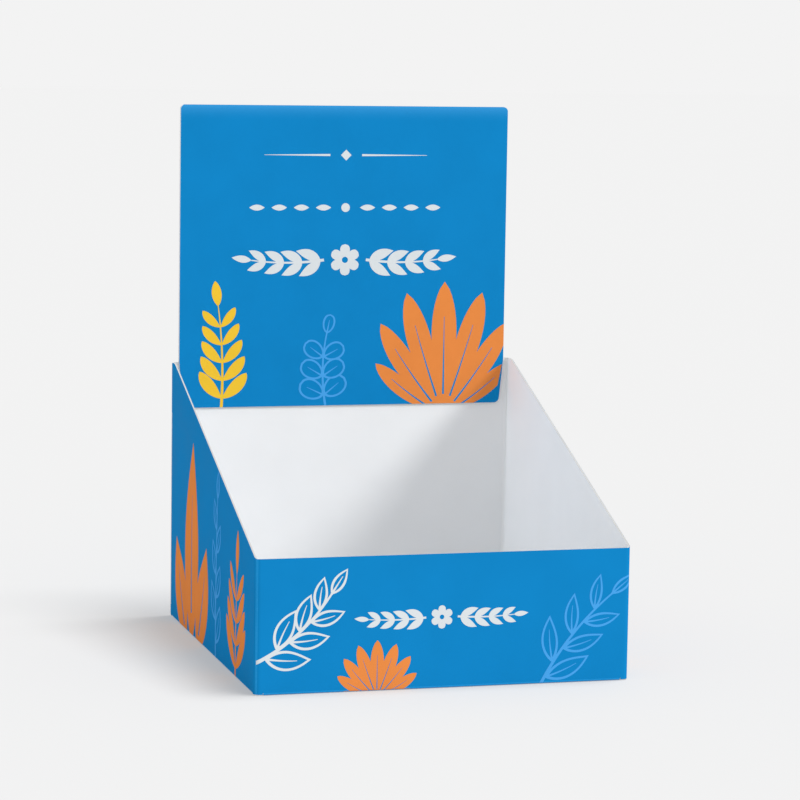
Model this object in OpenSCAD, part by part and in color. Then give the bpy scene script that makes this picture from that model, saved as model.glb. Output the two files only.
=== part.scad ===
// Counter display box: an open tray with sloping sides and a tall fold-over header,
// folded from one die-cut blank of printed solid board and closed by a lock bottom.
// Millimetres. +Z is up, the low front wall faces -Y, and the origin lies on the table
// in the middle of the footprint.

/* [Tray] */
// Outside width, left to right
tray_w = 200; // [150:1:320]
// Outside depth, front to back
tray_d = 220; // [160:1:320]
// Height of the front wall
front_h = 70; // [40:1:100]
// Height of the side walls where they meet the back wall
side_h = 146; // [125:1:200]
// Level stretch at the back of each side wall's top edge
side_flat = 5.5; // [3:0.5:25]
// Radius where the level stretch turns into the slope
slope_r = 18; // [5:1:60]

/* [Header] */
// Height of the header's top fold
header_h = 292; // [220:1:420]
// How far each side of the header is set in from the tray's corner folds
header_step = 0.7; // [0.5:0.1:16]
// Height of the lower edge of the front panel that hangs inside the tray
panel_foot_h = 120; // [90:1:140]
// How far each side of the front panel draws in towards its lower edge
panel_taper = 2.5; // [0.5:0.1:10]
// Radius of the front panel's lower corners
panel_foot_r = 3; // [1:0.5:10]
// Radius of the header's top corners
header_r = 2.5; // [1:0.1:10]
// Radius in the notches beside the header and at the free corner of the left shoulder
shoulder_r = 1.4; // [0.5:0.1:3]
// Air between the header's two layers
header_gap = 1; // [0.2:0.05:1.5]

/* [Board] */
// Thickness of the board
board_t = 0.8; // [0.5:0.05:1.2]
// Inside radius of the upright folds at the tray's corners
corner_r = 2.2; // [0.6:0.1:4]
// Inside radius of the folds of the flaps and the glue tab
fold_r = 0.6; // [0.4:0.05:1.2]
// How far the bead that creasing raises stands out along the inside of a fold
bead_rise = 0.15; // [0.05:0.01:0.3]
// Air between two layers of board that lie on each other
layer_gap = 0.15; // [0.1:0.01:0.4]
// Width of the slits that part a flap or tab from its neighbour
slit_w = 0.3; // [0.3:0.05:1]

/* [Glue tab] */
// Width of the glue tab behind the left wall
tab_w = 16; // [10:0.5:30]
// Height of the tab's lower end
tab_foot_h = 7; // [5:0.5:20]
// Room between the tab's upper end and the front panel's lower edge
tab_head_gap = 3; // [1:0.5:10]
// Rise of the tab's slanted ends
tab_slant = 5; // [2:0.5:10]
// Radius of the blank's corners at the foot of the seam
seam_foot_r = 1.6; // [0.5:0.1:3]

/* [Lock bottom] */
// Width of the front flap's tongue
tongue_w = 90; // [50:1:110]
// How far the tongue lies over the back flap
tongue_grip = 16; // [8:1:24]
// Distance from the middle of the tray to the mouth that takes the tongue
mouth_step = 34; // [26:1:45]
// Room on each side of the tongue in the mouth
mouth_gap = 2; // [1:0.5:5]
// How far the front flap's shoulders reach past the middle of the tray
front_reach = 4; // [1:0.5:8]
// How far the back flap's legs reach past the middle of the tray
leg_reach = 12; // [6:1:30]
// Gap between the two side flaps at the front
side_flap_gap = 40; // [20:1:60]
// Length over which a flap steps up onto the one below it
step_run = 5; // [4:0.5:8]
// How far the flaps' creases stop short of the corner folds
corner_gap = 1.6; // [1.2:0.1:3]
// Size of the corners cut off the side flaps
side_flap_cut = 12; // [8:1:20]
// Radius of the flaps' free corners
flap_r = 10; // [4:1:14]
// Radius of the inner corners at the foot of the tongue and in the mouth
notch_r = 4; // [2:0.5:8]

/* [Hidden] */
print_blue = "#1383c5";
arc_steps = 8;
$fn = 48;

half_w = tray_w / 2;
half_d = tray_d / 2;
bend_r = fold_r + board_t;
corner_bend_r = corner_r + board_t;
fold_lap = slit_w;
layer_h = board_t + layer_gap;

// Cut edges: a crease line lies halfway round its fold. At the tray's corners the blank is cut
// along the flaps' crease line, and a side wall's slope runs down to the front corner's crease line.
halfway = 1 - sin(45);
crease_h = bend_r * halfway;
side_front_y = corner_bend_r - half_d;
slope_foot_y = corner_bend_r * halfway - half_d;
slope_top_y = half_d - corner_bend_r - side_flat;
slope_grade = (side_h - front_h) / (slope_top_y - slope_foot_y);
side_front_h = front_h + slope_grade * (side_front_y - slope_foot_y);

// Header: the top fold is a half ring round the gap between the two layers
hem_r = header_gap / 2 + board_t;
hem_z = header_h - hem_r;
header_half_w = half_w - corner_bend_r - header_step;
panel_y = half_d - 2 * hem_r;

// Glue tab: it ends below the front panel, so the panel can lie close to the back wall
tab_top_h = panel_foot_h - tab_head_gap;
tab_crease_y = half_d - board_t - bend_r;
seam_y = half_d - board_t - layer_gap;

// Lock bottom: distances into the tray are measured from the outside of the flap's own wall
flap_root = bend_r + fold_lap;
step_end = flap_root + step_run;
front_flap_reach = half_d + front_reach;
tongue_rise_start = front_flap_reach + slit_w;
tongue_rise_end = half_d + mouth_step - 2 * slit_w;
tongue_reach = half_d + mouth_step + tongue_grip;
back_flap_reach = half_d + leg_reach;
mouth_reach = half_d - mouth_step;
side_flap_reach = half_w - side_flap_gap / 2;
side_flap_back_reach = half_w - tongue_w / 2 - mouth_gap;
crease_half_w = half_w - corner_bend_r - corner_gap;
side_crease_half = half_d - corner_bend_r - corner_gap;

// The point where a rounded corner at b, between a and c, has turned through the share s
function turned(a, b, c, r, s) =
    let (u = (a - b) / norm(a - b), v = (c - b) / norm(c - b))
    let (half = acos(u * v) / 2)
    let (fit = min(r, tan(half) * min(norm(a - b), norm(c - b)) / 2))
    let (centre = b + (u + v) / norm(u + v) * fit / sin(half))
    let (from = b + u * fit / tan(half) - centre, to = b + v * fit / tan(half) - centre)
    let (turn = 180 - 2 * half)
    centre + (from * sin((1 - s) * turn) + to * sin(s * turn)) / sin(turn);

// An outline from points [x, y, r], each corner rounded by its own r
function rounded(p) = [
    for (i = [0:len(p) - 1])
        let (a = p[(i + len(p) - 1) % len(p)], b = p[i], c = p[(i + 1) % len(p)])
        let (at = [b.x, b.y], before = [a.x, a.y], after = [c.x, c.y])
        each b.z > 0
            ? [for (k = [0:arc_steps]) turned(before, at, after, b.z, k / arc_steps)]
            : [at]
];

// A symmetric outline from the points of its +x half
function both_sides(p) = concat(p, [for (i = [len(p) - 1:-1:0]) [-p[i].x, p[i].y, p[i].z]]);

// A panel parallel to the front wall: outline in x and z, near face at y
module upright_x(outline, y) {
    translate([0, y + board_t, 0])
        rotate([90, 0, 0])
            linear_extrude(board_t)
                polygon(outline);
}

// A panel parallel to the side walls: outline in y and z, left face at x
module upright_y(outline, x) {
    translate([x, 0, 0])
        rotate([90, 0, 90])
            linear_extrude(board_t)
                polygon(outline);
}

// The section of a quarter-turn fold of inside radius r, outside towards +x and +y. It runs on into
// the panels on both sides by fold_lap, and has the bead along the crease on its inside.
module fold_section(r) {
    outer_r = r + board_t;
    intersection() {
        difference() {
            circle(outer_r);
            circle(r);
        }
        square(outer_r);
    }
    translate([r, -fold_lap]) square([board_t, fold_lap]);
    translate([-fold_lap, r]) square([fold_lap, board_t]);
    rotate(45)
        translate([r + board_t / 2 - bead_rise, 0])
            circle(d = board_t);
}

// The section of the half-turn fold at the top of the header, outside towards +y
module hem_section() {
    intersection() {
        difference() {
            circle(hem_r);
            circle(header_gap / 2);
        }
        translate([-hem_r, 0]) square([2 * hem_r, hem_r]);
    }
    for (x = [-hem_r, header_gap / 2])
        translate([x, -fold_lap])
            square([board_t, fold_lap]);
}

// A quarter-turn fold of inside radius r along +z
module fold(r, length) {
    linear_extrude(length) fold_section(r);
}

// The fold between a wall and its bottom flap, for a wall that faces +y at the distance reach
module flap_fold(reach, length) {
    translate([-length / 2, reach - bend_r, bend_r])
        rotate([0, 90, 0])
            fold(fold_r, length);
}

// A bottom flap of a wall that faces +y at the distance reach. The outline is in x and the
// distance in from the wall; the flap rises by lift between rise_start and rise_end.
module flap(reach, outline, lift, rise_start, rise_end, length) {
    section = [
        [bend_r, 0], [rise_start, 0], [rise_end, lift], [length, lift],
        [length, lift + board_t], [rise_end, lift + board_t], [rise_start, board_t], [bend_r, board_t]
    ];
    translate([0, reach, 0])
        mirror([0, 1, 0])
            intersection() {
                linear_extrude(lift + board_t) polygon(outline);
                rotate([90, 0, 90])
                    linear_extrude(2 * max(half_w, half_d), center = true)
                        polygon(section);
            }
}

module front_wall() {
    end = half_w - corner_bend_r;
    crease_end = crease_half_w + slit_w;
    upright_x(rounded(both_sides([
        [crease_end, bend_r, 0], [crease_end, crease_h, 0], [end, crease_h, 0], [end, front_h, 0]
    ])), -half_d);
}

// The outline of a side wall's bottom and front edges, which both side walls share
function side_wall_front() = [
    [side_crease_half + slit_w, crease_h, 0], [side_crease_half + slit_w, bend_r, 0],
    [-side_crease_half - slit_w, bend_r, 0], [-side_crease_half - slit_w, crease_h, 0],
    [side_front_y, crease_h, 0], [side_front_y, side_front_h, 0]
];

// The outline of a side wall's sloping top edge as far as its level end at y, a corner of radius r
function side_wall_top(y, r) = [[slope_top_y, side_h, slope_r], [y, side_h, r]];

module right_wall() {
    end = half_d - corner_bend_r;
    outline = concat(side_wall_front(), side_wall_top(end, 0), [[end, crease_h, 0]]);
    upright_y(rounded(outline), half_w - board_t);
}

// The left wall meets the back wall at the seam and folds into the glue tab between two slits
module left_wall() {
    outline = concat(side_wall_front(), side_wall_top(seam_y, shoulder_r), [
        [seam_y, tab_top_h + slit_w, 0], [tab_crease_y, tab_top_h + slit_w, 0],
        [tab_crease_y, tab_foot_h - slit_w, 0], [seam_y, tab_foot_h - slit_w, 0],
        [seam_y, crease_h, seam_foot_r]
    ]);
    upright_y(rounded(outline), -half_w);
}

module glue_tab() {
    root = bend_r - half_w;
    tip = tab_w - half_w;
    translate([root, tab_crease_y, tab_foot_h])
        rotate(90)
            fold(fold_r, tab_top_h - tab_foot_h);
    upright_x(rounded([
        [root, tab_foot_h, 0], [root + fold_lap, tab_foot_h, 0],
        [tip, tab_foot_h + tab_slant, tab_slant / 2], [tip, tab_top_h - tab_slant, tab_slant / 2],
        [root + fold_lap, tab_top_h, 0], [root, tab_top_h, 0]
    ]), tab_crease_y + fold_r);
}

// The back wall runs on upwards as the rear layer of the header
module back_wall() {
    end = half_w - corner_bend_r;
    crease_end = crease_half_w + slit_w;
    upright_x(rounded([
        [crease_end, bend_r, 0], [crease_end, crease_h, 0], [end, crease_h, 0],
        [end, side_h, 0], [header_half_w, side_h, shoulder_r], [header_half_w, hem_z, 0],
        [-header_half_w, hem_z, 0], [-header_half_w, side_h, shoulder_r], [-half_w, side_h, shoulder_r],
        [-half_w, crease_h, seam_foot_r], [-crease_end, crease_h, 0], [-crease_end, bend_r, 0]
    ]), half_d - board_t);
}

// The half-round fold along the top of the header
module top_fold() {
    translate([-header_half_w, half_d - hem_r, hem_z])
        rotate([90, 0, 90])
            linear_extrude(2 * header_half_w)
                hem_section();
}

// The front layer of the header, which ends in a free edge inside the tray
module front_panel() {
    foot = header_half_w - panel_taper;
    upright_x(rounded(both_sides([
        [foot, panel_foot_h, panel_foot_r], [header_half_w, side_h, 0], [header_half_w, hem_z, 0]
    ])), panel_y);
}

// Back wall and header, with the header's top corners rounded through both layers
module back_and_header() {
    cover = tray_w;
    intersection() {
        union() {
            back_wall();
            top_fold();
            front_panel();
        }
        translate([0, half_d + cover / 2, 0])
            rotate([90, 0, 0])
                linear_extrude(cover)
                    polygon(rounded(both_sides([
                        [half_w, 0, 0], [half_w, side_h, 0], [header_half_w, side_h, 0],
                        [header_half_w, header_h, header_r]
                    ])));
    }
}

// The two front corner folds, cut off level along the front wall and along the slope at the side walls
module front_corner_folds() {
    intersection() {
        for (side = [-1, 1])
            translate([side * (half_w - corner_bend_r), side_front_y, crease_h])
                rotate(side < 0 ? 180 : -90)
                    fold(corner_r, side_h);
        rotate([90, 0, 90])
            linear_extrude(2 * tray_w, center = true)
                polygon([
                    [-tray_d, 0], [-tray_d, front_h], [slope_foot_y, front_h],
                    [slope_top_y, side_h], [slope_top_y, 0]
                ]);
    }
}

// The fold between the right wall and the back wall
module back_corner_fold() {
    translate([half_w - corner_bend_r, half_d - corner_bend_r, crease_h])
        fold(corner_r, side_h - crease_h);
}

// The outermost bottom flap; its tongue rises through the back flap's mouth and lies on it
module front_flap() {
    side = half_w - step_end - slit_w;
    root = tongue_w / 2;
    outline = rounded(both_sides([
        [crease_half_w, bend_r, 0], [crease_half_w, flap_root, 0],
        [side, flap_root + crease_half_w - side, 0],
        [side - notch_r, front_flap_reach, flap_r], [root, front_flap_reach, notch_r],
        [root - notch_r, tongue_reach, flap_r]
    ]));
    rotate(180) {
        flap_fold(half_d, 2 * crease_half_w);
        flap(half_d, outline, 3 * layer_h, tongue_rise_start, tongue_rise_end, tongue_reach);
    }
}

// The two side flaps lie on the front flap and are wide in front of the tongue, narrow beside it
module side_flap() {
    cut = flap_root + side_flap_cut;
    front = -side_crease_half;
    outline = rounded([
        [front, bend_r, 0], [front, flap_root, 0], [front + side_flap_cut, cut, 0],
        [front + 2 * side_flap_cut, side_flap_reach, flap_r],
        [-2 * mouth_gap - side_flap_reach + side_flap_back_reach, side_flap_reach, flap_r],
        [-2 * mouth_gap, side_flap_back_reach, flap_r],
        [-front - 2 * side_flap_cut, side_flap_back_reach, flap_r],
        [-front - side_flap_cut, cut, 0], [-front, flap_root, 0], [-front, bend_r, 0]
    ]);
    rotate(-90)
        mirror([1, 0, 0]) {
            flap_fold(half_w, 2 * side_crease_half);
            flap(half_w, outline, layer_h, flap_root, step_end, side_flap_reach);
        }
}

// The innermost bottom flap: two legs either side of the mouth that takes the tongue
module back_flap() {
    mouth = tongue_w / 2 + mouth_gap;
    outline = rounded(both_sides([
        [crease_half_w, bend_r, 0], [crease_half_w, flap_root, 0],
        [crease_half_w - corner_gap, flap_root + 2 * corner_gap, 0],
        [crease_half_w - 2 * notch_r, back_flap_reach, flap_r],
        [mouth + notch_r, back_flap_reach, flap_r], [mouth, mouth_reach, notch_r]
    ]));
    flap_fold(half_d, 2 * crease_half_w);
    flap(half_d, outline, 2 * layer_h, flap_root, step_end, back_flap_reach);
}

module display_box() {
    color(print_blue) {
        front_wall();
        left_wall();
        right_wall();
        glue_tab();
        back_and_header();
        front_corner_folds();
        back_corner_fold();
        front_flap();
        side_flap();
        mirror([1, 0, 0]) side_flap();
        back_flap();
    }
}

display_box();
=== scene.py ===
"""The looks of a counter display box: white board, a printed outside, studio light and camera.

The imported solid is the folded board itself. The print is a thin film on its outer side: a blue ground
over the whole outside, and a botanical pattern in four inks on top of it. Print and board sizes are in
millimetres here and become metres where a mesh is made.
"""
import cmath
import math

import bpy
from mathutils import Matrix, Vector
from mathutils.bvhtree import BVHTree
from mathutils.geometry import delaunay_2d_cdt


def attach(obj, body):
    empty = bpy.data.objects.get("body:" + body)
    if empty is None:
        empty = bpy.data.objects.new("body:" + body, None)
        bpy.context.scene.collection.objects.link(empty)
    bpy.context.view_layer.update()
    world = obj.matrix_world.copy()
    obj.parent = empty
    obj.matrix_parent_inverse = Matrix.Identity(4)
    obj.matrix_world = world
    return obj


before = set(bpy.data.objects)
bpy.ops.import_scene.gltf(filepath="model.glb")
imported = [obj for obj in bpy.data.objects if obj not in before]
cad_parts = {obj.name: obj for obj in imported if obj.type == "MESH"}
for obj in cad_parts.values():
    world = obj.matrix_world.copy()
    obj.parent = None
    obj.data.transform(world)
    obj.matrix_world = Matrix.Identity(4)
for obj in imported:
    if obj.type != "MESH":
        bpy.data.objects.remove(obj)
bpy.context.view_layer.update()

MM = 0.001
TINY = 0.005
FACET = 0.08
BODY = "root"

# Film thicknesses and how deep a film's underside lies in what carries it
GROUND_FILM = 0.05
INK_FILM = 0.05
INK_STEP = 0.02
FILM_SINK = 0.02

# Sizes of the folded board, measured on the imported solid
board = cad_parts["display_box"]
corners = [v.co / MM for v in board.data.vertices]
half_w = max(p.x for p in corners)
half_d = max(p.y for p in corners)
header_h = max(p.z for p in corners)
front_edge = [p for p in corners if p.y < TINY - half_d]
front_h = max(p.z for p in front_edge)
corner_r = half_w - max(p.x for p in front_edge)
bend_r = half_d + min(p.y for p in corners if p.z < TINY)
side_edge = [p for p in corners if p.x > half_w - TINY]
side_h = max(p.z for p in side_edge)
level_y = min(p.y for p in side_edge if p.z > side_h - TINY)
header_half_w = max(p.x for p in corners if p.z > (side_h + header_h) / 2)
panel_y = min(p.y for p in corners if p.z > (side_h + header_h) / 2)
panel = [p for p in corners if abs(p.y - panel_y) < TINY and p.z > front_h and abs(p.x) < header_half_w]
panel_foot = min(p.z for p in panel)
panel_foot_half_w = max(p.x for p in panel if p.z < panel_foot + TINY)
hem_r = (half_d - panel_y) / 2
hem_z = header_h - hem_r

# The outside of the tray as a flat strip: u runs round it from the middle of the front wall. The print
# of a wall ends at the crease lines, which lie halfway round the folds.
flat_u = half_w - corner_r
quarter = corner_r * math.pi / 2
corner_u = flat_u + quarter / 2
side_u = flat_u + quarter
back_u = side_u + 2 * (half_d - corner_r)
foot_quarter = bend_r * math.pi / 2
foot_v = bend_r - foot_quarter / 2
front_top = [p.y for p in corners if abs(p.z - front_h) < TINY and abs(p.x) < flat_u + TINY]
board_t = min(y for y in front_top if y > TINY - half_d) + half_d
tab_x, tab_y = bend_r - half_w, half_d - board_t - bend_r


def linear(red, green, blue):
    """An sRGB colour, 0 to 255, as linear values with alpha."""
    def channel(c):
        c /= 255
        return c / 12.92 if c <= 0.04045 else ((c + 0.055) / 1.055) ** 2.4
    return channel(red), channel(green), channel(blue), 1.0


# Materials

# How strongly the matt varnish mirrors, and how far the painted highlight of the top fold reaches down: the
# print is drawn lighter there, where the rounded fold would catch the light
SHEEN = 0.001
TOP_HIGHLIGHT_REACH = 9
# Features per metre: the clouds in a colour, the flecks of wear and the fibres of the board
CLOUDS, FLECKS, FIBRES = 38, 900, 1400
# Brightness of the specks in the grain, most of the wear's colour that a fleck takes on, how far the
# roughness wanders to both sides, and how strongly the grain shows in the surface
SPECK_SHADE = 0.7
FLECK_COVER = 0.4
GLOSS_SPREAD = 0.05
GRAIN_STRENGTH = 0.6


def shade(colour, factor):
    """The colour with its brightness changed by a factor."""
    return tuple(min(1.0, c * factor) for c in colour[:3]) + (1.0,)


def noise(tree, coords, scale, detail, roughness=0.5):
    """A noise texture in object space; scale is in features per metre."""
    node = tree.nodes.new("ShaderNodeTexNoise")
    node.inputs["Scale"].default_value = scale
    node.inputs["Detail"].default_value = detail
    node.inputs["Roughness"].default_value = roughness
    tree.links.new(coords, node.inputs["Vector"])
    return node.outputs["Fac"]


def ramp(tree, value, low, high, to_low, to_high):
    """A value between low and high, spread to the range to_low to to_high."""
    node = tree.nodes.new("ShaderNodeMapRange")
    for name, number in (("From Min", low), ("From Max", high), ("To Min", to_low), ("To Max", to_high)):
        node.inputs[name].default_value = number
    tree.links.new(value, node.inputs["Value"])
    return node.outputs["Result"]


def blend_colours(tree, factor, first, second):
    """A mix of two colours; each is a constant or a socket."""
    node = tree.nodes.new("ShaderNodeMix")
    node.data_type = "RGBA"
    tree.links.new(factor, node.inputs["Factor"])
    for socket, colour in ((node.inputs[6], first), (node.inputs[7], second)):
        if isinstance(colour, tuple):
            socket.default_value = colour
        else:
            tree.links.new(colour, socket)
    return node.outputs[2]


def paper_material(name, colour, mottle, gloss, fibre, wear=None, top_fold_highlight=None):
    """Printed or bare board: cloudy colour, fine fibres in the surface, uneven gloss.

    mottle is the share by which the colour wanders, gloss the middle roughness, fibre the height of the
    surface's grain in metres. wear, if given, is the colour that shows in fine broken flecks. The colour
    given for the top fold is a painted highlight: the surface takes it on towards the header's top fold,
    where the rounded fold would catch the light."""
    material = bpy.data.materials.new(name)
    material.use_nodes = True
    tree = material.node_tree
    shader = tree.nodes["Principled BSDF"]
    coords = tree.nodes.new("ShaderNodeTexCoord").outputs["Object"]

    clouds = ramp(tree, noise(tree, coords, CLOUDS, detail=3), 0.3, 0.7, 0, 1)
    base = blend_colours(tree, clouds, shade(colour, 1 - mottle), shade(colour, 1 + mottle))
    grain = noise(tree, coords, FIBRES, detail=4, roughness=0.7)
    specks = ramp(tree, grain, 0.35, 0.65, 0, mottle)
    base = blend_colours(tree, specks, base, shade(colour, SPECK_SHADE))
    if wear:
        flecks = noise(tree, coords, FLECKS, detail=3, roughness=0.65)
        base = blend_colours(tree, ramp(tree, flecks, 0.45, 0.75, 0, FLECK_COVER), base, wear)
    # Painted highlight: the colour turns lighter towards the header's top fold
    if top_fold_highlight:
        split = tree.nodes.new("ShaderNodeSeparateXYZ")
        tree.links.new(coords, split.inputs["Vector"])
        rise = ramp(tree, split.outputs["Z"], (header_h - TOP_HIGHLIGHT_REACH) * MM, header_h * MM, 0, 1)
        fade = tree.nodes.new("ShaderNodeMath")
        fade.operation = "MULTIPLY"
        for socket in fade.inputs[:2]:
            tree.links.new(rise, socket)
        base = blend_colours(tree, fade.outputs[0], base, top_fold_highlight)
    tree.links.new(base, shader.inputs["Base Color"])

    roughness = ramp(tree, clouds, 0, 1, gloss - GLOSS_SPREAD, gloss + GLOSS_SPREAD)
    tree.links.new(roughness, shader.inputs["Roughness"])
    shader.inputs["Specular IOR Level"].default_value = SHEEN
    bump = tree.nodes.new("ShaderNodeBump")
    bump.inputs["Strength"].default_value = GRAIN_STRENGTH
    bump.inputs["Distance"].default_value = fibre
    tree.links.new(grain, bump.inputs["Height"])
    tree.links.new(bump.outputs["Normal"], shader.inputs["Normal"])
    return material


board_white = paper_material("white_board", linear(242, 243, 244), 0.012, 0.62, 0.00003)
cut_white = paper_material("cut_edge", linear(216, 215, 211), 0.05, 0.85, 0.00006)
# The blue print, with a painted highlight towards the header's top fold
print_blue = paper_material("blue_print", linear(19, 132, 197), 0.03, 0.46, 0.00002,
                            top_fold_highlight=linear(56, 152, 217))
# Print on the folds: lighter than the flat blue as a painted highlight where the rounded folds catch the
# light, with flecks of real wear
fold_blue_highlit_and_worn = paper_material("blue_print_on_folds", linear(34, 150, 218), 0.04, 0.5, 0.00003,
                           wear=linear(62, 164, 226))
INKS = {
    "orange": paper_material("orange_ink", linear(233, 140, 71), 0.035, 0.48, 0.00002),
    "yellow": paper_material("yellow_ink", linear(243, 198, 58), 0.03, 0.48, 0.00002),
    "light_blue": paper_material("light_blue_ink", linear(74, 163, 231), 0.03, 0.47, 0.00002),
    "white": paper_material("white_ink", linear(219, 225, 228), 0.015, 0.5, 0.00002),
}


# Films on the board

# Faces that meet at more degrees than this have a sharp edge
SHARP_ANGLE = 30


def add_piece(name, points, faces, materials, face_materials):
    """A new mesh piece, points in millimetres, that rides on the box."""
    mesh = bpy.data.meshes.new(name)
    mesh.from_pydata([p * MM for p in points], [], faces)
    for material in materials:
        mesh.materials.append(material)
    mesh.polygons.foreach_set("material_index", face_materials)
    mesh.shade_smooth()
    mesh.set_sharp_from_angle(angle=math.radians(SHARP_ANGLE))
    mesh.validate()
    piece = bpy.data.objects.new(name, mesh)
    bpy.context.scene.collection.objects.link(piece)
    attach(piece, BODY)


def film(name, places, triangles, bottom, top, materials, triangle_materials):
    """A closed thin film: triangles over places, each a point and an outward normal."""
    low = [p + n * bottom for p, n in places]
    high = [p + n * top for p, n in places]
    count = len(places)
    faces = [tuple(i + count for i in t) for t in triangles] + [tuple(reversed(t)) for t in triangles]
    kinds = list(triangle_materials) * 2
    owner = {}
    for t, kind in zip(triangles, triangle_materials):
        for a, b in zip(t, t[1:] + t[:1]):
            owner[a, b] = kind
    for (a, b), kind in owner.items():
        if (b, a) not in owner:
            faces.append((a, b, b + count, a + count))
            kinds.append(kind)
    add_piece(name, low + high, faces, materials, kinds)


# A face lies on a fold where no part of its normal is above FLAT. The print is lighter all round the bottom
# folds, and in the middle of the wider corner folds on the left, where no part is above the second limit
# below:
# partly real wear, shown in flecks, and partly a painted highlight where the rounded folds catch the light.
FLAT = 0.999
FOLD_WEAR_AND_HIGHLIGHT = 0.85
# A face looks in a direction where the part of its normal along it is above FACING, and lies along the
# direction where that part is below EDGE_ON
FACING = 0.9
EDGE_ON = 0.1


def tray_distance(x, y):
    """Distance of a point outside the tray's rounded plan, negative inside."""
    dx, dy = abs(x) - flat_u, abs(y) - (half_d - corner_r)
    return math.hypot(max(dx, 0), max(dy, 0)) + min(max(dx, dy), 0) - corner_r


def is_printed(centre, normal):
    """True for a face of the solid on the blank's outer side, folds included."""
    if abs(centre.y - half_d) < TINY:
        return normal.y > FACING
    if centre.z > front_h and abs(centre.y - panel_y) < TINY:
        return normal.y < -FACING
    if centre.z > hem_z and abs(normal.x) < EDGE_ON:
        outward = Vector((0, centre.y - half_d + hem_r, centre.z - hem_z))
        return normal.dot(outward) > FACING * hem_r
    if abs(abs(centre.x) - half_w) < TINY:
        return centre.y < half_d - board_t
    if centre.x < -flat_u and centre.y > half_d - corner_r:
        outward = Vector((centre.x - tab_x, centre.y - tab_y, 0))
        return abs(outward.length - bend_r) < FACET and normal.dot(outward) > FACING * bend_r
    inward = tray_distance(centre.x, centre.y)
    if abs(inward) < FACET and abs(normal.z) < EDGE_ON:
        return True
    out, down = inward + bend_r, bend_r - centre.z
    on_arc = out > 0 and down > 0 and abs(math.hypot(out, down) - bend_r) < FACET
    return on_arc and math.hypot(normal.x, normal.y) * out - normal.z * down > FACING * bend_r


def print_ground():
    """The blue ground: a film over every printed face of the solid."""
    mesh = board.data
    index, points, normals, triangles, kinds = {}, [], [], [], []
    for face in mesh.polygons:
        centre, normal = face.center / MM, face.normal
        if not is_printed(centre, normal):
            continue
        upright = abs(normal.z) < EDGE_ON
        folded = max(abs(c) for c in normal) < (FOLD_WEAR_AND_HIGHLIGHT if upright else FLAT)
        # Painted highlight and wear: these fold faces take the lighter fold print
        worn_and_highlit = folded and centre.z < hem_z and not (upright and centre.x > 0)
        triangle = []
        for v in face.vertices:
            p = mesh.vertices[v].co / MM
            key = tuple(round(c, 3) for c in p)
            if key not in index:
                index[key] = len(points)
                points.append(p)
                normals.append(Vector())
            normals[index[key]] += normal * face.area
            triangle.append(index[key])
        if len(set(triangle)) == 3:
            triangles.append(tuple(triangle))
            kinds.append(1 if worn_and_highlit else 0)
    places = [(p, n.normalized()) for p, n in zip(points, normals)]
    film("print_ground", places, triangles, -FILM_SINK, GROUND_FILM, (print_blue, fold_blue_highlit_and_worn), kinds)


def on_tray(u, v):
    """Point and outward normal on the tray's outside, at u along the strip and height v."""
    side, run = math.copysign(1, u), abs(u)
    turn = min(max(run - flat_u, 0), quarter) / corner_r
    outward = Vector((side * math.sin(turn), -math.cos(turn), 0))
    axis = Vector((side * min(run, flat_u), corner_r - half_d + max(run - side_u, 0), max(v, bend_r)))
    roll = max(bend_r - v, 0) / bend_r
    normal = outward * math.cos(roll) - Vector((0, 0, math.sin(roll)))
    return axis + outward * (corner_r - bend_r) + normal * bend_r, normal


def on_header(u, v):
    """Point and outward normal on the header's front panel, at u across and height v."""
    return Vector((u, panel_y, v)), Vector((0, -1, 0))


FOLD_STEPS = 10
# delaunay_2d_cdt: keep only what lies inside the outlines, and treat points this close as one
KEEP_INSIDE = 1
CUT_SLACK = 1e-5
fold_lines = [flat_u + quarter * i / FOLD_STEPS for i in range(FOLD_STEPS + 1)]

FRONT = (on_tray, [(-corner_u, foot_v), (corner_u, foot_v), (corner_u, front_h), (-corner_u, front_h)])
RIGHT = (on_tray, [
    (corner_u, foot_v), (back_u, foot_v), (back_u, side_h), (back_u - half_d + corner_r + level_y, side_h),
    (corner_u, front_h)])
LEFT = (on_tray, [(-u, v) for u, v in reversed(RIGHT[1])])
HEADER = (on_header, [
    (-panel_foot_half_w, panel_foot), (panel_foot_half_w, panel_foot), (header_half_w, side_h),
    (header_half_w, hem_z), (-header_half_w, hem_z), (-header_half_w, side_h)])


def cut_shapes(outline, shapes):
    """Triangles of the shapes that lie inside an outline. Each shape is (points, kept): a later shape
    lies over the earlier ones, and one that isn't kept cuts its place out of them."""
    points, edges, faces = [], [], []
    for ring in [outline] + [shape for shape, kept in shapes]:
        faces.append(list(range(len(points), len(points) + len(ring))))
        points += [Vector(p) for p in ring]
    low, high = min(v for u, v in outline), max(v for u, v in outline)
    for u in fold_lines + [-u for u in fold_lines]:
        edges.append((len(points), len(points) + 1))
        points += [Vector((u, low)), Vector((u, high))]
    left, right = min(u for u, v in outline), max(u for u, v in outline)
    for i in range(FOLD_STEPS // 2 + 1):
        v = bend_r - foot_quarter * i / FOLD_STEPS
        edges.append((len(points), len(points) + 1))
        points += [Vector((left, v)), Vector((right, v))]
    points, _, triangles, _, _, owners = delaunay_2d_cdt(points, edges, faces, KEEP_INSIDE, CUT_SLACK)
    keep = [t for t, own in zip(triangles, owners) if 0 in own and max(own) and shapes[max(own) - 1][1]]
    used = sorted({i for t in keep for i in t})
    place = {old: new for new, old in enumerate(used)}
    return [points[i] for i in used], [tuple(place[i] for i in t) for t in keep]


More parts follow.
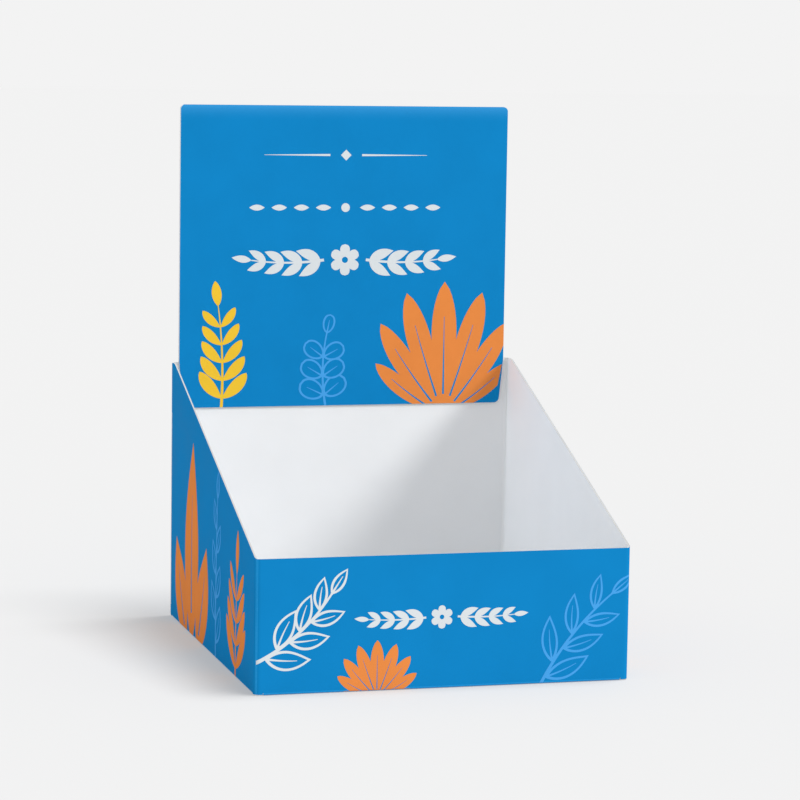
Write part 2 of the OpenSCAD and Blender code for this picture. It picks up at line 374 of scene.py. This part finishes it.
def print_ink(name, ink, *parts):
    """One ink of the pattern as a piece; each part is (panel, shapes)."""
    places, triangles = [], []
    for (surface, outline), shapes in parts:
        flat_shapes = [([(p.real, p.imag) for p in ring], kept) for ring, kept in shapes]
        points, cut = cut_shapes(outline, flat_shapes)
        triangles += [tuple(i + len(places) for i in t) for t in cut]
        places += [surface(p.x, p.y) for p in points]
    top = GROUND_FILM + INK_FILM + INK_STEP * list(INKS).index(ink)
    film(name, places, triangles, GROUND_FILM - FILM_SINK, top, (INKS[ink],), [0] * len(triangles))


# Motifs: outlines of complex numbers, real part across, imaginary part up, in millimetres. Headings, bends
# and spreads are in degrees, and a place on a path runs from 0 to 1.

LEAF_STEPS = 18
STRAIGHT = 1e-9
UP = 90


def spine(base, heading, length, bend):
    """A function of 0 to 1 along a curve that turns by bend degrees: its point and its direction."""
    start, turn = cmath.rect(1, math.radians(heading)), math.radians(bend) or STRAIGHT

    def at(t):
        turned = cmath.exp(1j * turn * t)
        return base + start * length * (turned - 1) / (1j * turn), start * turned
    return at


def place_on(path, t):
    """The point at t on a path, and the heading there."""
    point, along = path(t)
    return point, math.degrees(cmath.phase(along))


def ribbon(path, half_width):
    """A closed outline along a path, whose half width is a function of 0 to 1."""
    stops = [i / LEAF_STEPS for i in range(LEAF_STEPS + 1)]
    right = [path(t)[0] - 1j * path(t)[1] * half_width(t) for t in stops]
    left = [path(t)[0] + 1j * path(t)[1] * half_width(t) for t in stops]
    outline = right + left[::-1]
    return [p for p, before in zip(outline, outline[-1:] + outline[:-1]) if abs(p - before) > TINY]


def leaf(base, heading, length, width, bend=0, fattest=0.45, fullness=2.0):
    """A leaf outline. Low fullness makes it round, high fullness slender at both ends."""
    near, far = fullness * fattest, fullness * (1 - fattest)

    def half_width(t):
        return width / 2 * (t / fattest) ** near * ((1 - t) / (1 - fattest)) ** far
    return ribbon(spine(base, heading, length, bend), half_width)


def stem(base, heading, length, thick, bend=0, thin=0.25):
    """A stalk that narrows to the share thin of its width."""
    return ribbon(spine(base, heading, length, bend), lambda t: thick / 2 * (1 - (1 - thin) * t))


def veined(base, heading, length, width, vein, bend=0, fattest=0.45):
    """A filled leaf with its midrib left open."""
    rib_from, rib_share = 0.16, 0.58
    start, angle = place_on(spine(base, heading, length, bend), rib_from)
    rib = stem(start, angle, length * rib_share, vein, bend * rib_share)
    return [(leaf(base, heading, length, width, bend, fattest), True), (rib, False)]


def drawn(base, heading, length, width, line, bend=0, fattest=0.45, fullness=2.0):
    """A leaf drawn as a line, with its midrib."""
    inner_from, inner_share, rib_share = 0.09, 0.83, 0.7
    outer = leaf(base, heading, length, width, bend, fattest, fullness)
    inner_base = spine(base, heading, length, bend)(inner_from)[0]
    inner = leaf(inner_base, heading + bend * inner_from, length * inner_share, width - 2 * line,
                 bend * inner_share, fattest, fullness)
    rib = stem(base, heading, length * rib_share, line, bend * rib_share)
    return [(outer, True), (inner, False), (rib, True)]


def frond(base, heading, length, pairs, leaf_length, leaf_width, thick, bend=0, spread=48):
    """A stalk with leaves in pairs, shorter towards the tip, and one leaf at the end."""
    first, reach, tip, taper, curl, fullness = 0.14, 0.8, 0.97, 0.45, 24, 1.7
    path = spine(base, heading, length, bend)
    shapes = [(stem(base, heading, length, thick, bend), True)]
    for i in range(pairs):
        t = first + reach * i / pairs
        at, angle = place_on(path, t)
        size = 1 - taper * t
        for side in (1, -1):
            blade = leaf(at, angle + side * spread, leaf_length * size, leaf_width * size,
                         bend=-side * curl, fattest=0.55, fullness=fullness)
            shapes.append((blade, True))
    end, angle = place_on(path, tip)
    blade = leaf(end, angle, leaf_length * 0.66, leaf_width * 0.75, fattest=0.5, fullness=fullness)
    return shapes + [(blade, True)]


def fan(base, heading, length, width, blades, spread, vein):
    """Blades that open out from one point, the middle one the longest."""
    taper, curl = 0.34, 16
    shapes = []
    for i in sorted(range(blades), key=lambda i: -abs(2 * i - blades + 1)):
        side = (2 * i - blades + 1) / (blades - 1)
        size = 1 - taper * side * side
        shapes += veined(base, heading + side * spread / 2, length * size, width * size, vein,
                         bend=-side * curl, fattest=0.62)
    return shapes


def round_sprig(base, heading, length, pairs, size, line, bend=0):
    """A drawn stalk with round drawn leaves in pairs, smaller towards the tip, and one at the end."""
    first, reach, tip, spread = 0.2, 0.72, 0.98, 58
    roundness = {"fattest": 0.56, "fullness": 1.1}
    path = spine(base, heading, length, bend)
    shapes = [(stem(base, heading, length, line * 1.3, bend, thin=0.6), True)]
    for i in range(pairs):
        at, angle = place_on(path, first + reach * i / pairs)
        leaf_length, leaf_width = size * (1 - 0.07 * i), size * (0.74 - 0.05 * i)
        for side in (1, -1):
            shapes += drawn(at, angle + side * spread, leaf_length, leaf_width, line, **roundness)
    end, angle = place_on(path, tip)
    return shapes + drawn(end, angle, size * 0.7, size * 0.46, line, **roundness)


def drawn_sprig(base, heading, length, pairs, leaf_length, leaf_width, line, bend=0, spread=40):
    """A drawn stalk with slender drawn leaves, alternately left and right."""
    first, reach, tip, taper, curl, end_share = 0.12, 0.8, 0.97, 0.4, 18, 0.6
    path = spine(base, heading, length, bend)
    shapes = [(stem(base, heading, length, line * 1.5, bend, thin=0.5), True)]
    for i in range(2 * pairs):
        t = first + reach * i / (2 * pairs)
        at, angle = place_on(path, t)
        side = 1 if i % 2 else -1
        size = 1 - taper * t
        shapes += drawn(at, angle + side * spread, leaf_length * size, leaf_width * size, line,
                        bend=-side * curl)
    end, angle = place_on(path, tip)
    return shapes + drawn(end, angle, leaf_length * end_share, leaf_width * end_share, line)


def leafy(path, leaves, leaf_length, leaf_width, thick, spread=40):
    """A branch along a path, with leaves in pairs and one at its end."""
    first, taper, curl = 0.2, 0.3, 0.6
    shapes = [(ribbon(path, lambda t: thick / 2 * (1 - 0.6 * t)), True)]
    for i in range(leaves):
        at, angle = place_on(path, (i + first) / leaves)
        size = 1 - taper * i / leaves
        for turn in (spread, -spread):
            blade = leaf(at, angle + turn, leaf_length * size, leaf_width * size, bend=-turn * curl)
            shapes.append((blade, True))
    end, angle = place_on(path, 1)
    return shapes + [(leaf(end, angle, leaf_length * 0.75, leaf_width * 0.7), True)]


def disc(middle, radius):
    """A round spot."""
    return [middle + cmath.rect(radius, 2 * math.pi * i / LEAF_STEPS) for i in range(LEAF_STEPS)]


def blossom(middle, petals, length):
    """A plain round flower with an open eye."""
    petal_width, eye_r = length * 0.64, length * 0.2
    shapes = []
    for i in range(petals):
        petal = leaf(middle, UP + 360 * i / petals, length, petal_width, fattest=0.64, fullness=1.2)
        shapes.append((petal, True))
    return shapes + [(disc(middle, eye_r), False)]


def garland(middle, half_span, leaves, leaf_length, leaf_width, thick, rise):
    """Two leafy branches that run out from a small blossom to the left and the right."""
    shapes = blossom(middle, petals=6, length=leaf_length * 0.58)
    for side in (1, -1):
        start = middle + side * leaf_length * 0.8
        path = spine(start, UP - side * (90 + rise / 2), half_span - leaf_length * 1.5, side * rise)
        shapes += leafy(path, leaves, leaf_length, leaf_width, thick)
    return shapes


def beads(middle, each_side, step, length, width):
    """A row of small lens shapes on both sides of a round one."""
    shapes = [(disc(middle, width * 0.75), True)]
    for i in range(1, each_side + 1):
        for side in (1, -1):
            shapes.append((leaf(middle + side * i * step - length / 2, 0, length, width, fattest=0.5), True))
    return shapes


def rule(middle, half_span, thick):
    """A thin line with a lozenge in its middle and a gap on both sides of it."""
    lozenge = 2.6 * thick
    gap = 3 * lozenge
    shapes = [([middle - lozenge * 1j, middle + lozenge, middle + lozenge * 1j, middle - lozenge], True)]
    for side in (1, -1):
        shapes.append((stem(middle + side * gap, UP - side * 90, half_span - gap, thick, thin=0.2), True))
    return shapes


# The printed pattern, placed on the panels. Plants start a little outside the edge that they grow from.

def side_u_at(share):
    """u on the right wall, at a share of its depth from the front."""
    return side_u + share * (back_u - side_u)


def side_orange(mirror):
    """The orange plants of a side wall: mirror is 1 on the right and -1 on the left."""
    front = complex(mirror * side_u_at(0.2), foot_v - 4)
    back = complex(mirror * side_u_at(0.73), foot_v - 6)
    lean_out = 14 * mirror
    small = frond(front, UP, length=60, pairs=4, leaf_length=36, leaf_width=9.5, thick=2.6, bend=mirror * 5,
                  spread=54)
    tall = veined(back, UP - mirror * 3, length=114, width=36, vein=2.4, bend=mirror * 8)
    outer = veined(back + lean_out, UP - mirror * 36, length=62, width=30, vein=2.2, bend=mirror * 16)
    inner = veined(back - lean_out, UP + mirror * 30, length=66, width=30, vein=2.2, bend=-mirror * 16)
    return small + tall + outer + inner


def side_lines(mirror):
    """The light blue plant of a side wall."""
    base = complex(mirror * side_u_at(0.43), foot_v - 3)
    return drawn_sprig(base, UP - mirror * 2, length=92, pairs=3, leaf_length=26, leaf_width=13, line=1.6,
                       bend=mirror * 8, spread=36)


def print_pattern():
    """All the inks, each a piece of its own."""
    header_foot = complex(0, panel_foot)
    header_fan = fan(header_foot + 60 - 7j, UP, length=78, width=15, blades=7, spread=122, vein=1.2)
    front_fan = fan(complex(-36, foot_v - 4), UP, length=30, width=7, blades=9, spread=176, vein=0.6)
    print_ink("print_orange", "orange", (HEADER, header_fan), (FRONT, front_fan),
              (LEFT, side_orange(-1)), (RIGHT, side_orange(1)))

    header_frond = frond(header_foot - 72 - 4j, 86, length=64, pairs=5, leaf_length=22, leaf_width=7.6,
                         thick=1.8, bend=12, spread=54)
    print_ink("print_yellow", "yellow", (HEADER, header_frond))

    header_sprig = round_sprig(header_foot - 10 - 3j, 102, length=46, pairs=3, size=16, line=1.1, bend=-24)
    front_sprig = drawn_sprig(complex(50, foot_v - 4), 64, length=66, pairs=3, leaf_length=28, leaf_width=10,
                              line=1.2, bend=-26, spread=46)
    print_ink("print_light_blue", "light_blue", (HEADER, header_sprig), (FRONT, front_sprig),
              (LEFT, side_lines(-1)), (RIGHT, side_lines(1)))

    # In the places of the lettering: a rule, beads and a garland on the header, and a garland on the front
    header_garland = garland(header_foot + 84j, half_span=66, leaves=4, leaf_length=15.5, leaf_width=5.8,
                             thick=1.6, rise=16)
    header_beads = beads(header_foot + 114j, each_side=4, step=13, length=9, width=3.4)
    header_rule = rule(header_foot + 144j, half_span=48, thick=1.2)
    front_garland = garland(complex(-2, 0.53 * front_h), half_span=46, leaves=4, leaf_length=10.5,
                            leaf_width=3.8, thick=1.1, rise=10)
    corner_sprig = drawn_sprig(complex(-corner_u - 2, 16), 24, length=56, pairs=3, leaf_length=26,
                               leaf_width=11, line=1.3, bend=34)
    print_ink("print_white", "white", (HEADER, header_garland + header_beads + header_rule),
              (FRONT, front_garland + corner_sprig))


# A face is a cut edge where the board behind it is deeper than this many layers
CUT_LAYERS = 2.2


def dress_board():
    """White board under the print and inside the tray, with rougher cut edges."""
    mesh = board.data
    mesh.materials.clear()
    mesh.materials.append(board_white)
    mesh.materials.append(cut_white)
    tree = BVHTree.FromPolygons([v.co for v in mesh.vertices], [f.vertices for f in mesh.polygons])
    depth = CUT_LAYERS * board_t * MM
    for face in mesh.polygons:
        start = face.center - face.normal * TINY * MM
        face.material_index = 0 if tree.ray_cast(start, -face.normal, depth)[0] else 1


# Studio

# Far lamps: name, degrees to the right of the front, degrees above the floor, width in degrees, strength,
# and what it lights: the key all but the floor, the top lamp only the floor
SUNS = (("key", 46, 27, 16, 1.39, "EXCLUDE"),
        ("top", 75, 72, 30, 4.0, "INCLUDE"))
# A small panel lamp for the white board alone: it hangs far on the left in the header's own plane, so that
# it reaches the inside of the right wall and hardly the back wall
FILL_PLACE = Vector((-6 * half_w, panel_y - 1.5, 1.6 * header_h))
FILL_FROM = 300
FILL_SIZE = 16
FILL_POWER = 1.75
FILL_COLOUR = (0.84, 0.92, 1.0)
SKY_STRENGTH = 0.68
BACKDROP = linear(243, 243, 243)
FLOOR_ALBEDO, FLOOR_GLOW = 0.3, 0.324
# In metres: the floor's size, and how far it lies under the box
FLOOR_SIZE = 30
FLOOR_DROP = 0.0001


def add_floor():
    """A plain pale floor just under the box, a little bright of itself so that shadows stay light."""
    mesh = bpy.data.meshes.new("floor")
    half = FLOOR_SIZE / 2
    mesh.from_pydata([(x * half, y * half, -FLOOR_DROP) for x, y in ((-1, -1), (1, -1), (1, 1), (-1, 1))],
                     [], [(0, 1, 2, 3)])
    material = bpy.data.materials.new("floor")
    material.use_nodes = True
    shader = material.node_tree.nodes["Principled BSDF"]
    shader.inputs["Base Color"].default_value = (FLOOR_ALBEDO, FLOOR_ALBEDO, FLOOR_ALBEDO, 1)
    shader.inputs["Roughness"].default_value = 1.0
    shader.inputs["Specular IOR Level"].default_value = 0.0
    shader.inputs["Emission Color"].default_value = (1, 1, 1, 1)
    shader.inputs["Emission Strength"].default_value = FLOOR_GLOW
    mesh.materials.append(material)
    floor = bpy.data.objects.new("floor", mesh)
    bpy.context.scene.collection.objects.link(floor)
    return floor


def add_lamp(name, kind, azimuth, elevation, strength, piece, state):
    """A lamp that lights one piece only, or all but that piece."""
    light = bpy.data.lights.new(name, kind)
    light.energy = strength
    lamp = bpy.data.objects.new(name, light)
    lamp.rotation_euler = (math.radians(90 - elevation), 0, math.radians(azimuth))
    bpy.context.scene.collection.objects.link(lamp)
    lit = bpy.data.collections.new(name + "_lit")
    lit.objects.link(piece)
    lit.collection_objects[0].light_linking.link_state = state
    lamp.light_linking.receiver_collection = lit
    return lamp


def add_light(floor):
    """An even sky, a soft lamp from the front right for the box, a wide one from above for the floor and
    a small one on the left for the white inside."""
    for name, azimuth, elevation, width, strength, state in SUNS:
        add_lamp(name, "SUN", azimuth, elevation, strength, floor, state).data.angle = math.radians(width)
    fill = add_lamp("fill", "AREA", FILL_FROM, 0, FILL_POWER, board, "INCLUDE")
    fill.location = FILL_PLACE * MM
    fill.data.size = FILL_SIZE * MM
    fill.data.color = FILL_COLOUR

    world = bpy.data.worlds.new("studio")
    world.use_nodes = True
    tree = world.node_tree
    sky = tree.nodes["Background"]
    sky.inputs["Color"].default_value = (1, 1, 1, 1)
    sky.inputs["Strength"].default_value = SKY_STRENGTH
    backdrop = tree.nodes.new("ShaderNodeBackground")
    backdrop.inputs["Color"].default_value = BACKDROP
    rays = tree.nodes.new("ShaderNodeLightPath")
    seen = rays.outputs["Is Camera Ray"]
    for kind in ("Is Glossy Ray", "Is Transmission Ray"):
        either = tree.nodes.new("ShaderNodeMath")
        either.operation = "MAXIMUM"
        tree.links.new(seen, either.inputs[0])
        tree.links.new(rays.outputs[kind], either.inputs[1])
        seen = either.outputs[0]
    mix = tree.nodes.new("ShaderNodeMixShader")
    tree.links.new(seen, mix.inputs[0])
    tree.links.new(sky.outputs[0], mix.inputs[1])
    tree.links.new(backdrop.outputs[0], mix.inputs[2])
    tree.links.new(mix.outputs[0], tree.nodes["World Output"].inputs["Surface"])
    bpy.context.scene.world = world


# The photograph's camera, fitted to the box's edges; its place is in millimetres, its angles in degrees
IMAGE_SIZE = 800
SENSOR_WIDTH = 36
FAR_CLIP = 100
FOCAL_PIXELS = 3066.6
CAMERA_PLACE = Vector((-437.1, -1595.0, 334.8))
CAMERA_YAW, CAMERA_PITCH, CAMERA_ROLL = 15.472, 6.858, 0.873


def add_camera():
    """The camera at the photograph's viewing angle."""
    lens = bpy.data.cameras.new("camera")
    lens.sensor_width = SENSOR_WIDTH
    lens.lens = FOCAL_PIXELS / IMAGE_SIZE * SENSOR_WIDTH
    lens.clip_end = FAR_CLIP
    camera = bpy.data.objects.new("camera", lens)
    turn = Matrix.Rotation(math.radians(-CAMERA_YAW), 4, "Z")
    tilt = Matrix.Rotation(math.radians(90 - CAMERA_PITCH), 4, "X")
    roll = Matrix.Rotation(math.radians(CAMERA_ROLL), 4, "Z")
    camera.matrix_world = Matrix.Translation(CAMERA_PLACE * MM) @ turn @ tilt @ roll
    bpy.context.scene.collection.objects.link(camera)
    bpy.context.scene.camera = camera


add_camera()
add_light(add_floor())
dress_board()
print_ground()
print_pattern()

bpy.context.scene.view_settings.view_transform = "Standard"
